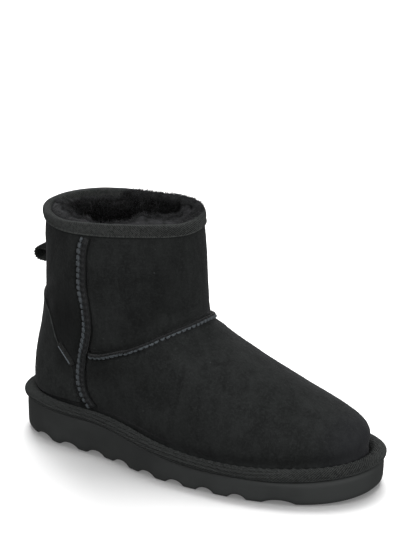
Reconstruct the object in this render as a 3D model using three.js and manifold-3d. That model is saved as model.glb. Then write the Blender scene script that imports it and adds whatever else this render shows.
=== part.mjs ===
// Sheepskin ankle boot, the right shoe, standing empty on its sole. Millimetres, +Z up.
// +X runs from heel to toe and +Y to the inner side of the foot, so the outer side is -Y.
// Everything is laid out with the back of the sole near x = 0 and the floor at z = 0. The whole
// boot is moved at the end, so that its origin is on the floor under the middle of its box.

import * as THREE from 'three';
import { mergeVertices } from 'three/addons/utils/BufferGeometryUtils.js';
import Module from 'manifold-3d';

const { clamp, lerp, smoothstep } = THREE.MathUtils;

// ---------- driving dimensions ----------

const GAP = 0.3;                 // what touches is kept this far apart

// The upper face of the sole: a heel wedge that runs down to the ball of the foot.
const SOLE = {
  length: 274, heelTop: 26.5, foreTop: 16.5, dropFrom: 68, dropTo: 170,
  ledge: 9.5,                    // how far the sole stands out past the foot of the upper
  springFrom: 205, spring: 4.5,  // rise of the upper face under the toes
  liftFrom: 236, lift: 3.2,      // rise of the lower face at the toe tip
  edgeDrop: 4, edgeIn: 3,        // rounding of the bottom edge
};

// Scalloped grooves that run across the tread, each a little narrower than the one behind it,
// and one wide shallow groove under the toes.
const GROOVE = { first: 29.9, pitch: 23.8, count: 8, width: 18, narrowing: 0.65, depth: 3.2 };
const TOE_GROOVE = { at: 225, width: 22, depth: 2.6 };
const GROOVE_SIDES = 40;

// The curve of the foot: toes swing to the inner side, and the waist draws in under the arch.
const BOW = { from: 120, swing: 15, power: 1.6 };
const WAIST = { at: 84, reach: 38, outer: 0.15, inner: 0.17, fadeRow: 4 };

// Sections of the upper from its foot line to its collar, a row for each. A section is an egg
// on the last: it runs from backX to frontX, is widest at wideX, and its ends are as square as
// backPower and frontPower make them. Heights are above the sole, and level says how far the
// section has left the wedge of the sole for a level plane.
const COLUMNS = ['frontX', 'frontH', 'backX', 'backH', 'wideX', 'outer', 'inner',
  'frontPower', 'backPower', 'level'];
const SECTIONS = [
  [264.5, 0, 9.5, 0, 172, 44.5, 44.5, 2.2, 3.1, 0],          // foot line
  [265.5, 12.5, 7, 8.5, 170, 47, 46.5, 2.2, 3.0, 0],         // toe wall
  [261.5, 25, 5.5, 18, 166, 47, 46, 2.2, 2.8, 0],
  [247, 35, 5, 29, 156, 45.5, 44.5, 2.15, 2.6, 0.1],         // over the toes
  [220, 44.5, 7, 42, 138, 44.5, 43.5, 2.1, 2.5, 0.3],        // vamp
  [183.5, 57, 10, 55, 112, 44, 42.5, 2.05, 2.4, 0.6],
  [145, 72, 12.5, 72, 88, 43.5, 42, 2.05, 2.3, 0.9],         // instep
  [139.5, 93.5, 14.5, 94, 76, 43, 42, 2.05, 2.2, 1],         // shaft
  [137.5, 121, 15.5, 116, 74, 42.5, 42.5, 2.1, 2.15, 1],
  [135, 142, 15, 134.5, 73, 41, 42, 2.15, 2.15, 1],
  [133, 153, 14, 145, 72, 39.5, 41, 2.2, 2.2, 1],            // collar
].map((values) => Object.fromEntries(COLUMNS.map((name, i) => [name, values[i]])));
const COLLAR = SECTIONS.length - 1;

const WALL = 7;                  // suede and the fleece behind it
const COLLAR_WALL = 5;           // where the fleece is shorn for the binding
const SHORN_FROM = 8;            // section above which the wall thins towards the collar

const INSOLE = { thick: 5, inset: WALL + 0.5 };
const RAND = { toeHeight: 8.4, heelHeight: 6.2, riseFrom: 185, riseTo: 240, roll: 2.7, seatRow: 0.085 };
const BINDING = { drop: 0.72, thick: 1.4 };
const COUNTER = { thick: 2, fromRow: 0.2, toRow: 8 };
const LOOP = { height: 10.4, reach: 14.2, width: 14.5, thick: 1.9, at: 129.7, seat: 14.7 };

const AROUND = 64;               // columns of facets around the boot

// ---------- the last ----------

function soleTop(x) {
  const wedge = lerp(SOLE.heelTop, SOLE.foreTop, smoothstep(x, SOLE.dropFrom, SOLE.dropTo));
  const toes = clamp((x - SOLE.springFrom) / (SOLE.length - SOLE.springFrom), 0, 1);
  return wedge + SOLE.spring * toes ** 2;
}

function soleBottom(x) {
  return SOLE.lift * clamp((x - SOLE.liftFrom) / (SOLE.length - SOLE.liftFrom), 0, 1) ** 2;
}

function swing(x) {
  return BOW.swing * clamp((x - BOW.from) / (SOLE.length - BOW.from), 0, 1) ** BOW.power;
}

// One smooth curve through the rows of SECTIONS; row may be any number up to COLLAR.
function sectionAt(row) {
  const i = Math.min(Math.floor(row), COLLAR - 1);
  const u = row - i;
  const pick = (k, name) => {
    if (k < 0) return 2 * SECTIONS[0][name] - SECTIONS[1][name];
    if (k > COLLAR) return 2 * SECTIONS[COLLAR][name] - SECTIONS[COLLAR - 1][name];
    return SECTIONS[k][name];
  };
  const section = {};
  for (const name of COLUMNS) {
    const [a, b, c, d] = [i - 1, i, i + 1, i + 2].map((k) => pick(k, name));
    section[name] = b + 0.5 * u * (c - a + u * (2 * a - 5 * b + 4 * c - d + u * (3 * (b - c) + d - a)));
  }
  return section;
}

// A point of the upper's outer face. Angle 0 is the front, PI the back, and the outer side is
// where its sine is negative.
function skinPoint(row, angle) {
  const s = sectionAt(row);
  const [along, across] = [Math.cos(angle), Math.sin(angle)];
  const power = along >= 0 ? s.frontPower : s.backPower;
  const reach = along >= 0 ? s.frontX - s.wideX : s.wideX - s.backX;
  const x = s.wideX + Math.sign(along) * reach * Math.abs(along) ** (2 / power);
  const fade = 1 - smoothstep(row, 0, WAIST.fadeRow);
  const draw = (across < 0 ? WAIST.outer : WAIST.inner) * fade;
  const waist = 1 - draw * Math.exp(-(((x - WAIST.at) / WAIST.reach) ** 2));
  const half = across < 0 ? s.outer : s.inner;
  const y = Math.sign(across) * half * waist * Math.abs(across) ** (2 / power);
  const share = (x - s.backX) / (s.frontX - s.backX);
  const z = lerp(soleTop(x), SOLE.heelTop, s.level) + lerp(s.backH, s.frontH, share);
  return new THREE.Vector3(x, y + swing(x), z);
}

function skinNormal(row, angle) {
  const step = 0.01;
  const around = skinPoint(row, angle + step).sub(skinPoint(row, angle - step));
  const [low, high] = [Math.max(row - step, 0), Math.min(row + step, COLLAR)];
  const up = skinPoint(high, angle).sub(skinPoint(low, angle));
  return around.cross(up).normalize();
}

// A point off the outer face along its normal: out is positive, into the wall is negative.
function offSkin(row, angle, out, lift = 0) {
  const point = skinPoint(row, angle).addScaledVector(skinNormal(row, angle), out);
  point.z += lift;
  return point;
}

// A point beside the foot line in plan, at a height above the sole's upper face.
function offFoot(angle, out, height) {
  const step = 0.01;
  const along = skinPoint(0, angle + step).sub(skinPoint(0, angle - step)).setZ(0).normalize();
  const point = skinPoint(0, angle).add(new THREE.Vector3(along.y, -along.x, 0).multiplyScalar(out));
  point.z = soleTop(point.x) + height;
  return point;
}

// Angles of the facet columns, the same on both sides, spread evenly along the foot line and
// the collar together.
function columnAngles() {
  const steps = 2000;
  const travelled = [0];
  const lengths = [0, COLLAR].map((row) => {
    const points = Array.from({ length: steps + 1 }, (_, i) => skinPoint(row, (i / steps) * Math.PI));
    const strides = points.slice(1).map((point, i) => point.distanceTo(points[i]));
    const total = strides.reduce((sum, stride) => sum + stride);
    return strides.map((stride) => stride / total);
  });
  for (let i = 0; i < steps; i += 1) {
    travelled.push(travelled[i] + (lengths[0][i] + lengths[1][i]) / 2);
  }
  const half = Array.from({ length: AROUND / 2 + 1 }, (_, k) => {
    const goal = (k / (AROUND / 2)) * travelled[steps];
    return (travelled.findIndex((length) => length >= goal - 1e-9) / steps) * Math.PI;
  });
  return [...half, ...half.slice(1, -1).reverse().map((angle) => -angle)];
}
const ANGLES = columnAngles();

const ringOf = (makePoint) => ANGLES.map((angle) => makePoint(angle));
const rowsBetween = (from, to, count) => Array.from({ length: count + 1 },
  (_, i) => lerp(from, to, i / count));

// ---------- meshes ----------

function solidFrom(points, faces) {
  let volume = 0;
  for (const [a, b, c] of faces) {
    volume += points[a].dot(points[b].clone().cross(points[c]));
  }
  const geometry = new THREE.BufferGeometry();
  const flat = points.flatMap((point) => point.toArray());
  geometry.setAttribute('position', new THREE.Float32BufferAttribute(flat, 3));
  geometry.setIndex(faces.flatMap(([a, b, c]) => (volume > 0 ? [a, b, c] : [a, c, b])));
  return geometry;
}

function stripBetween(first, second) {
  return ANGLES.flatMap((_, i) => {
    const next = (i + 1) % AROUND;
    const [a, b] = [first * AROUND + i, first * AROUND + next];
    const [c, d] = [second * AROUND + next, second * AROUND + i];
    return [[a, b, c], [a, c, d]];
  });
}

// Rungs from each column to its mirror close a ring with a face that bends only from heel to toe.
function rungsAcross(ring, flip) {
  const faces = [];
  for (let i = 0; i < AROUND / 2; i += 1) {
    const [a, b] = [ring * AROUND + i, ring * AROUND + i + 1];
    const c = ring * AROUND + ((AROUND - i - 1) % AROUND);
    const d = ring * AROUND + ((AROUND - i) % AROUND);
    if (b !== c) faces.push([a, b, c]);
    if (a !== d) faces.push([a, c, d]);
  }
  return flip ? faces.map(([a, b, c]) => [a, c, b]) : faces;
}

// A skin through rings that closes on its first ring: a hoop or an open-ended shell.
function hoop(rings) {
  const faces = rings.flatMap((_, i) => stripBetween(i, (i + 1) % rings.length));
  return solidFrom(rings.flat(), faces);
}

// A skin through rings, closed across its first and last ring: a slab or a filled form.
function slab(rings) {
  const faces = rings.slice(1).flatMap((_, i) => stripBetween(i, i + 1));
  faces.push(...rungsAcross(0, true), ...rungsAcross(rings.length - 1, false));
  return solidFrom(rings.flat(), faces);
}

// ---------- cutting and joining ----------

const wasm = await Module();
wasm.setup();

function toManifold(geometry) {
  const bare = geometry.clone();
  bare.deleteAttribute('normal');
  bare.deleteAttribute('uv');
  const merged = mergeVertices(bare, 1e-4);
  return new wasm.Manifold(new wasm.Mesh({
    numProp: 3,
    vertProperties: new Float32Array(merged.attributes.position.array),
    triVerts: new Uint32Array(merged.index.array),
  }));
}

function toGeometry(manifold) {
  const mesh = manifold.getMesh();
  const geometry = new THREE.BufferGeometry();
  geometry.setAttribute('position', new THREE.BufferAttribute(new Float32Array(mesh.vertProperties), 3));
  geometry.setIndex(new THREE.BufferAttribute(new Uint32Array(mesh.triVerts), 1));
  return geometry;
}

// A side-view outline in x and z, pushed through the boot from one y to another.
function sideCut(shape, fromY, toY, curveSegments = 8) {
  const depth = toY - fromY;
  const geometry = new THREE.ExtrudeGeometry(shape, { depth, bevelEnabled: false, curveSegments });
  return toManifold(geometry.rotateX(Math.PI / 2).translate(0, toY, 0));
}

// ---------- pieces ----------

// A round-bottomed trough across the tread, as wide and deep as asked where it meets the floor.
function groove(at, { width, depth }) {
  const radius = ((width / 2) ** 2 + depth ** 2) / (2 * depth);
  const span = 140;
  const roller = new THREE.CylinderGeometry(radius, radius, span, GROOVE_SIDES);
  return toManifold(roller.translate(at, 0, depth - radius));
}

function outsole() {
  const layer = (out, height) => ringOf((angle) => {
    const point = offFoot(angle, SOLE.ledge - out, 0);
    point.z = soleBottom(point.x) + height;
    return point;
  });
  const top = ringOf((angle) => offFoot(angle, SOLE.ledge, 0));
  let body = toManifold(slab([
    layer(SOLE.edgeIn, 0),
    layer(SOLE.edgeIn * 0.3, SOLE.edgeDrop * 0.3),
    layer(0, SOLE.edgeDrop),
    top,
  ]));
  for (let i = 0; i < GROOVE.count; i += 1) {
    const width = GROOVE.width - i * GROOVE.narrowing;
    body = body.subtract(groove(GROOVE.first + i * GROOVE.pitch, { width, depth: GROOVE.depth }));
  }
  return toGeometry(body.subtract(groove(TOE_GROOVE.at, TOE_GROOVE)));
}

function insole() {
  const layer = (height) => ringOf((angle) => offFoot(angle, -INSOLE.inset, height));
  return slab([layer(GAP), layer(GAP + INSOLE.thick)]);
}

// The wall's thickness at a section: full fleece, shorn towards the collar.
const wallAt = (row) => lerp(WALL, COLLAR_WALL, smoothstep(row, SHORN_FROM, COLLAR));

function upper() {
  const outerFace = rowsBetween(0, COLLAR, 22).map((row) => ringOf((angle) => (
    offSkin(row, angle, 0, GAP * (1 - smoothstep(row, 0, 1))))));
  const innerFace = rowsBetween(COLLAR, 0.9, 14).map((row) => ringOf((angle) => (
    offSkin(row, angle, -wallAt(row)))));
  const innerFoot = ringOf((angle) => offFoot(angle, -WALL, GAP));
  return hoop([...outerFace, ...innerFace, innerFoot]);
}

// The rand's height above the sole: lower round the heel and waist than round the toes.
function randHeight(x) {
  return lerp(RAND.heelHeight, RAND.toeHeight, smoothstep(x, RAND.riseFrom, RAND.riseTo));
}

// A padded roll wrapped around the foot of the upper, lying on the ledge of the sole.
function rand() {
  const { roll, seatRow } = RAND;
  const profile = [
    [SOLE.ledge - 0.5, 0, GAP],
    [SOLE.ledge + 0.7 * roll, 0.15, GAP],
    [SOLE.ledge + roll, 0.4, 0],
    [SOLE.ledge + 0.7 * roll, 0.68, 0],
    [SOLE.ledge - 1.5, 0.93, 0],
    [SOLE.ledge - 4, 1, 0],
  ];
  const heightAt = (angle) => randHeight(skinPoint(0, angle).x);
  const outside = profile.map(([out, share, lift]) => ringOf((angle) => (
    offFoot(angle, out, share * heightAt(angle) + lift))));
  const against = [seatRow, seatRow / 2].map((row) => ringOf((angle) => (
    offSkin(row * heightAt(angle), angle, 1.4 * GAP))));
  const foot = ringOf((angle) => offFoot(angle, 1.4 * GAP, GAP));
  return hoop([...outside, ...against, foot]);
}

// A filled form of the upper, as far off its outer face as asked.
function skinForm(out, fromRow, toRow) {
  const count = Math.round((toRow - fromRow) / 0.5);
  return toManifold(slab(rowsBetween(fromRow, toRow, count).map((row) => ringOf((angle) => (
    offSkin(row, angle, out))))));
}

// The heel counter's outline from the side: low at the side seam, sweeping up to the back.
function counterOutline() {
  const bottom = SOLE.heelTop + RAND.heelHeight + 2 * GAP;
  const shape = new THREE.Shape();
  shape.moveTo(-20, bottom);
  shape.lineTo(-20, 107);
  shape.lineTo(8, 107);
  shape.splineThru([[16, 105], [25, 98], [32, 87], [43, 73], [56, 61]].map(([x, z]) => (
    new THREE.Vector2(x, z))));
  shape.quadraticCurveTo(54, 46, 67, bottom);
  return shape;
}

function heelCounter() {
  const { thick, fromRow, toRow } = COUNTER;
  const shell = skinForm(GAP + thick, fromRow, toRow).subtract(skinForm(GAP, fromRow - 0.1, toRow + 0.5));
  return toGeometry(shell.intersect(sideCut(counterOutline(), -80, 80)));
}

// Twill tape folded over the collar edge.
function collarBinding() {
  const { drop, thick } = BINDING;
  const low = COLLAR - drop;
  const inside = COLLAR_WALL + GAP;
  const profile = [
    [low, GAP, 0],
    [low, GAP + thick, 0],
    [COLLAR - 0.4, GAP + thick + 0.3, 0],
    [COLLAR, GAP + thick + 0.2, 0],
    [COLLAR, 1, GAP + thick],
    [COLLAR, -COLLAR_WALL / 2, GAP + thick + 0.6],
    [COLLAR, -inside, GAP + thick],
    [COLLAR, -inside - thick, 0],
    [low, -inside - thick - 0.6, 0],
    [low, -inside - 0.6, 0],
    [COLLAR, -inside, GAP],
    [COLLAR, GAP, GAP],
  ];
  return hoop(profile.map(([row, out, lift]) => ringOf((angle) => offSkin(row, angle, out, lift))));
}

// A short strap standing off the back of the shaft as a round-nosed loop.
function pullLoop() {
  const { height, reach, width, thick, at, seat } = LOOP;
  const half = height / 2;
  const noseX = seat - reach + half;
  const outline = (path, inset, footX) => path
    .moveTo(footX, at + half - inset)
    .lineTo(noseX, at + half - inset)
    .absarc(noseX, at, half - inset, Math.PI / 2, -Math.PI / 2, false)
    .lineTo(footX, at - half + inset);
  const shape = outline(new THREE.Shape(), 0, seat + 4);
  shape.holes.push(outline(new THREE.Path(), thick, seat - thick));
  const strap = sideCut(shape, -width / 2, width / 2);
  return toGeometry(strap.subtract(skinForm(GAP, 5, COLLAR)));
}

// ---------- materials and assembly ----------

const suede = { color: 0x222423, roughness: 0.95, metalness: 0 };
const foam = { color: 0x343635, roughness: 0.7, metalness: 0 };
const tape = { color: 0x3a3c3b, roughness: 0.85, metalness: 0 };
const fleece = { color: 0x2c2d2e, roughness: 1, metalness: 0 };

const pieces = [
  ['outsole', outsole(), foam],
  ['rand', rand(), tape],
  ['insole', insole(), fleece],
  ['upper', upper(), suede],
  ['heel_counter', heelCounter(), suede],
  ['collar_binding', collarBinding(), tape],
  ['pull_loop', pullLoop(), tape],
];

const boot = new THREE.Group();
for (const [name, geometry, look] of pieces) {
  geometry.computeVertexNormals();
  const mesh = new THREE.Mesh(geometry, new THREE.MeshStandardMaterial(look));
  mesh.name = name;
  boot.add(mesh);
}

const box = new THREE.Box3().setFromObject(boot);
const middle = box.getCenter(new THREE.Vector3());
for (const mesh of boot.children) {
  mesh.position.set(-middle.x, -middle.y, -box.min.z);
}

export default boot;
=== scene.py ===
"""Sheepskin ankle boot, right shoe: its looks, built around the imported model.

The shape functions work in the boot's own millimetres, heel at x = 0, toes towards +x, the
inner side of the foot towards +y and the floor at z = 0. place() turns them into the frame.
"""
import math

import bpy
import numpy as np
from mathutils import Matrix, Vector


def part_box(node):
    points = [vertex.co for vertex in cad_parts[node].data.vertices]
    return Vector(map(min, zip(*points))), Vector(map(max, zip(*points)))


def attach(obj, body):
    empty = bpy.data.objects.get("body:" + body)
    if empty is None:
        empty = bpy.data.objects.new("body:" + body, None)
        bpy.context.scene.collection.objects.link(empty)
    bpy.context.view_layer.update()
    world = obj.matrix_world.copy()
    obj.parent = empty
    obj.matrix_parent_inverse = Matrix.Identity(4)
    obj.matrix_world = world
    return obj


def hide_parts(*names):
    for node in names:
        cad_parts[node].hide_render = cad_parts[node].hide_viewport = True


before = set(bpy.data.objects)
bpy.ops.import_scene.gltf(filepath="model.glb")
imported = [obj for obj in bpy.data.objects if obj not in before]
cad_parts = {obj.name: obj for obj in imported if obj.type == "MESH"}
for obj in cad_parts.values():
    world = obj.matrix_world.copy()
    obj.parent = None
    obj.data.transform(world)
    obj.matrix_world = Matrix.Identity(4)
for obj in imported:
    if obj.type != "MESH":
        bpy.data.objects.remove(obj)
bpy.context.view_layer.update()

MM = 0.001
TURN = 2 * math.pi
rng = np.random.default_rng(7)   # for the seams, the curls and the rim's tufts, in that order


# ---------- camera ----------

CAMERA = dict(azimuth=30.5, elevation=21.0, roll=0.8, distance=1.4, lens=135.0)
LOOK_AT = np.array([141.5, -0.3, 144.2])      # in the boot's millimetres


# ---------- the last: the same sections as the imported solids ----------

SOLE = dict(length=274, heel_top=26.5, fore_top=16.5, drop_from=68, drop_to=170, ledge=9.5,
            spring_from=205, spring=4.5, lift_from=236, lift=3.2)
BOW = dict(start=120, swing=15, power=1.6)
WAIST = dict(at=84, reach=38, outer=0.15, inner=0.17, fade_row=4)
COLUMNS = ("front_x", "front_h", "back_x", "back_h", "wide_x", "outer", "inner",
           "front_power", "back_power", "level")
SECTIONS = np.array([
    [264.5, 0, 9.5, 0, 172, 44.5, 44.5, 2.2, 3.1, 0],          # foot line
    [265.5, 12.5, 7, 8.5, 170, 47, 46.5, 2.2, 3.0, 0],         # toe wall
    [261.5, 25, 5.5, 18, 166, 47, 46, 2.2, 2.8, 0],
    [247, 35, 5, 29, 156, 45.5, 44.5, 2.15, 2.6, 0.1],         # over the toes
    [220, 44.5, 7, 42, 138, 44.5, 43.5, 2.1, 2.5, 0.3],        # vamp
    [183.5, 57, 10, 55, 112, 44, 42.5, 2.05, 2.4, 0.6],
    [145, 72, 12.5, 72, 88, 43.5, 42, 2.05, 2.3, 0.9],         # instep
    [139.5, 93.5, 14.5, 94, 76, 43, 42, 2.05, 2.2, 1],         # shaft
    [137.5, 121, 15.5, 116, 74, 42.5, 42.5, 2.1, 2.15, 1],
    [135, 142, 15, 134.5, 73, 41, 42, 2.15, 2.15, 1],
    [133, 153, 14, 145, 72, 39.5, 41, 2.2, 2.2, 1],            # collar
])
COLLAR = len(SECTIONS) - 1
# Where the soft collar dips: degrees, half width in degrees, depth. The dips fade out downwards
# by the row DIPS_FROM.
COLLAR_DIPS = [(-116, 27, 2.8), (-12, 22, 2.2), (86, 26, 1.3)]
DIPS_FROM = 8.6
RAND = dict(toe_height=8.4, heel_height=6.2, rise_from=185, rise_to=240)


def smooth(low, high, value):
    u = np.clip((value - low) / (high - low), 0, 1)
    return u * u * (3 - 2 * u)


def blend(a, b, share):
    return a + (b - a) * share


def bell(*parts):
    """1 where every part is 0, and falling softly to 0 where any part is well past 1."""
    return np.exp(-sum(part ** 2 for part in parts))


def sole_top(x):
    wedge = blend(SOLE["heel_top"], SOLE["fore_top"], smooth(SOLE["drop_from"], SOLE["drop_to"], x))
    toes = np.clip((x - SOLE["spring_from"]) / (SOLE["length"] - SOLE["spring_from"]), 0, 1)
    return wedge + SOLE["spring"] * toes ** 2


def sole_bottom(x):
    toes = np.clip((x - SOLE["lift_from"]) / (SOLE["length"] - SOLE["lift_from"]), 0, 1)
    return SOLE["lift"] * toes ** 2


def swing(x):
    along = np.clip((x - BOW["start"]) / (SOLE["length"] - BOW["start"]), 0, 1)
    return BOW["swing"] * along ** BOW["power"]


def rand_height(x):
    rise = smooth(RAND["rise_from"], RAND["rise_to"], x)
    return blend(RAND["heel_height"], RAND["toe_height"], rise)


def unit(v):
    return v / np.linalg.norm(v, axis=-1, keepdims=True)


def lengths_along(points):
    """How far along a line of points each of them is."""
    return np.concatenate([[0], np.cumsum(np.linalg.norm(np.diff(points, axis=0), axis=1))])


def turned(degrees, at):
    """How far round from one direction another one is, from -180 to 180 degrees."""
    return (degrees - at + 180) % 360 - 180


def through(a, b, c, d, u):
    """The place at share u between b and c, on a smooth curve through a, b, c and d."""
    return b + 0.5 * u * (c - a + u * (2 * a - 5 * b + 4 * c - d + u * (3 * (b - c) + d - a)))


def section_at(row):
    """The columns of SECTIONS at any row, on one smooth curve through them."""
    row = np.asarray(row, float)
    i = np.clip(np.floor(row).astype(int), 0, COLLAR - 1)
    ends = np.vstack([2 * SECTIONS[0] - SECTIONS[1], SECTIONS, 2 * SECTIONS[-1] - SECTIONS[-2]])
    values = through(*(ends[i + k] for k in range(4)), (row - i)[..., None])
    return {name: values[..., k] for k, name in enumerate(COLUMNS)}


def skin(row, angle):
    """Points of the upper's outer face. Angle 0 is the front, and the outer side is negative."""
    row, angle = np.broadcast_arrays(np.asarray(row, float), np.asarray(angle, float))
    s = section_at(row)
    along, across = np.cos(angle), np.sin(angle)
    front, outer = along >= 0, across < 0
    power = np.where(front, s["front_power"], s["back_power"])
    reach = np.where(front, s["front_x"] - s["wide_x"], s["wide_x"] - s["back_x"])
    x = s["wide_x"] + np.sign(along) * reach * np.abs(along) ** (2 / power)
    draw = np.where(outer, WAIST["outer"], WAIST["inner"]) * (1 - smooth(0, WAIST["fade_row"], row))
    waist = 1 - draw * bell((x - WAIST["at"]) / WAIST["reach"])
    half = np.where(outer, s["outer"], s["inner"])
    y = np.sign(across) * half * waist * np.abs(across) ** (2 / power) + swing(x)
    share = (x - s["back_x"]) / (s["front_x"] - s["back_x"])
    z = blend(sole_top(x), SOLE["heel_top"], s["level"]) + blend(s["back_h"], s["front_h"], share)
    for at, half_width, depth in COLLAR_DIPS:
        away = turned(np.degrees(angle), at)
        z -= depth * bell(away / half_width) * smooth(DIPS_FROM, COLLAR, row)
    return np.stack([x, y, z], -1)


def skin_normal(row, angle, step=0.01):
    row, angle = np.broadcast_arrays(np.asarray(row, float), np.asarray(angle, float))
    around = skin(row, angle + step) - skin(row, angle - step)
    up = skin(np.minimum(row + step, COLLAR), angle) - skin(np.maximum(row - step, 0), angle)
    return unit(np.cross(around, up))


def on_skin(row, angle):
    """Points of the outer face and their normals."""
    return skin(row, angle), skin_normal(row, angle)


def off_skin(row, angle, out, lift=0.0):
    """Points off the outer face along its normal, raised by lift."""
    points, normal = on_skin(row, angle)
    points = points + normal * np.asarray(out, float)[..., None]
    points[..., 2] += lift
    return points


def off_foot(angle, out, height, step=0.01):
    """Points beside the foot line in plan, at a height above the sole's upper face."""
    along = skin(0, angle + step) - skin(0, angle - step)
    along[..., 2] = 0
    along = unit(along)
    points = skin(0, angle)
    points[..., 0] += along[..., 1] * out
    points[..., 1] -= along[..., 0] * out
    points[..., 2] = sole_top(points[..., 0]) + height
    return points


def column_angles(count):
    """Angles spread evenly along the foot line and the collar together, alike on both sides."""
    fine = np.linspace(0, math.pi, 4001)
    travelled = np.zeros(len(fine))
    for row in (0, COLLAR):
        strides = np.linalg.norm(np.diff(skin(row, fine), axis=0), axis=1)
        travelled[1:] += np.cumsum(strides) / strides.sum() / 2
    half = np.interp(np.linspace(0, 1, count // 2 + 1), travelled, fine)
    return np.concatenate([half, -half[-2:0:-1]])


# The frame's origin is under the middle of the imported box, so the shift between the two is
# read off the outsole, whose outline is known in both.
outline = off_foot(np.linspace(0, TURN, 3601), SOLE["ledge"], 0)
SHIFT = np.append(np.array(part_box("outsole")[0][:2]) - outline[:, :2].min(0) * MM, 0)


def place(points):
    return np.asarray(points) * MM + SHIFT


# ---------- meshes ----------

def in_scene(name, data):
    obj = bpy.data.objects.new(name, data)
    bpy.context.scene.collection.objects.link(obj)
    return obj


def add_object(mesh, material):
    """The mesh as a piece of the same name."""
    mesh.shade_smooth()
    mesh.materials.append(material)
    obj = in_scene(mesh.name, mesh)
    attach(obj, "root")
    return obj


def make_mesh(name, points, *blocks, lay=None):
    """points in the boot's millimetres, each block an array of faces, lay a UV for each corner."""
    mesh = bpy.data.meshes.new(name)
    points = np.asarray(points).reshape(-1, 3)
    corners = np.concatenate([np.asarray(block).ravel() for block in blocks])
    sides = np.concatenate([np.full(len(block), np.shape(block)[1]) for block in blocks])
    mesh.vertices.add(len(points))
    mesh.vertices.foreach_set("co", place(points).astype(np.float32).ravel())
    mesh.loops.add(len(corners))
    mesh.loops.foreach_set("vertex_index", corners.astype(np.int32))
    mesh.polygons.add(len(sides))
    mesh.polygons.foreach_set("loop_start", (np.cumsum(sides) - sides).astype(np.int32))
    mesh.update(calc_edges=True)
    if lay is not None:
        layer = mesh.uv_layers.new(name="lay")
        layer.uv.foreach_set("vector", np.asarray(lay, np.float32).ravel())
    return mesh


def rungs(count, first):
    """Triangles across a ring of count points, from each point to its mirror."""
    a = np.arange(count // 2)
    b, c, d = a + 1, (count - a - 1) % count, (count - a) % count
    return first + np.vstack([np.stack([a, b, c], 1)[b != c], np.stack([a, c, d], 1)[a != d]])


def slab_mesh(name, rings):
    """A solid between rings, closed across its first and its last ring."""
    grid = np.asarray(rings)
    layers, count = grid.shape[:2]
    faces, places = grid_faces(layers, count, False, True)
    caps = np.vstack([rungs(count, 0)[:, ::-1], rungs(count, (layers - 1) * count)])
    plan = grid.reshape(-1, 3)[caps][..., :2] * MM
    lay = np.concatenate([lay_of(grid, places).reshape(-1, 2), plan.reshape(-1, 2)])
    return make_mesh(name, grid, faces, caps, lay=lay)


def grid_faces(rows, columns, close_rows=False, close_columns=False):
    """Quads over a grid of points, with the UV corners that go with them as grid places."""
    r = np.arange(rows if close_rows else rows - 1)
    c = np.arange(columns if close_columns else columns - 1)
    r, c = (a.ravel() for a in np.meshgrid(r, c, indexing="ij"))
    corners = [(r, c), (r, c + 1), (r + 1, c + 1), (r + 1, c)]
    faces = np.stack([(i % rows) * columns + j % columns for i, j in corners], 1)
    places = np.stack([np.stack([i, j], -1) for i, j in corners], 1)
    return faces, places


def lay_of(grid, places):
    """UV in metres along the grid's columns and across its rows, measured on the piece."""
    rows, columns = grid.shape[:2]
    middle = grid[rows // 2]
    along = lengths_along(np.append(middle, middle[:1], 0))
    down = np.roll(grid, -1, 0) - grid
    across = np.concatenate([np.zeros((1, columns)), np.cumsum(np.linalg.norm(down, axis=-1), 0)])
    u = along[places[..., 1]]
    v = across[places[..., 0], places[..., 1] % columns]
    return np.stack([u, v], -1) * MM


def grid_mesh(name, grid, close_rows=False, close_columns=False):
    grid = np.asarray(grid)
    faces, places = grid_faces(*grid.shape[:2], close_rows, close_columns)
    return make_mesh(name, grid, faces, lay=lay_of(grid, places))


def smooth_profile(corners, count, closed=True):
    """A profile of points rounded into a smooth curve with count points."""
    p = np.asarray(corners, float)
    n = len(p)
    t = np.linspace(0, n if closed else n - 1, count, endpoint=not closed)
    i = np.floor(t).astype(int)
    u = (t - i)[:, None]
    near = [i + k for k in (-1, 0, 1, 2)]
    return through(*(p[k % n if closed else np.clip(k, 0, n - 1)] for k in near), u)


def waves(points, scale, seed, octaves=3):
    """Soft random relief from about -1 to 1 at points in millimetres: sums of turned sine waves."""
    local = np.random.default_rng(seed)
    per_octave = 6
    total, weight = np.zeros(points.shape[:-1]), 0
    for octave in range(octaves):
        size = scale / 2 ** octave
        part = np.zeros(points.shape[:-1])
        for _ in range(per_octave):
            direction = unit(local.normal(size=3))
            part += np.sin(points @ direction * (TURN / size) * local.uniform(0.7, 1.3)
                           + local.uniform(0, TURN))
        total += part / per_octave / 2 ** octave
        weight += 1 / 2 ** octave
    return total / weight * 2


# ---------- materials ----------

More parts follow.
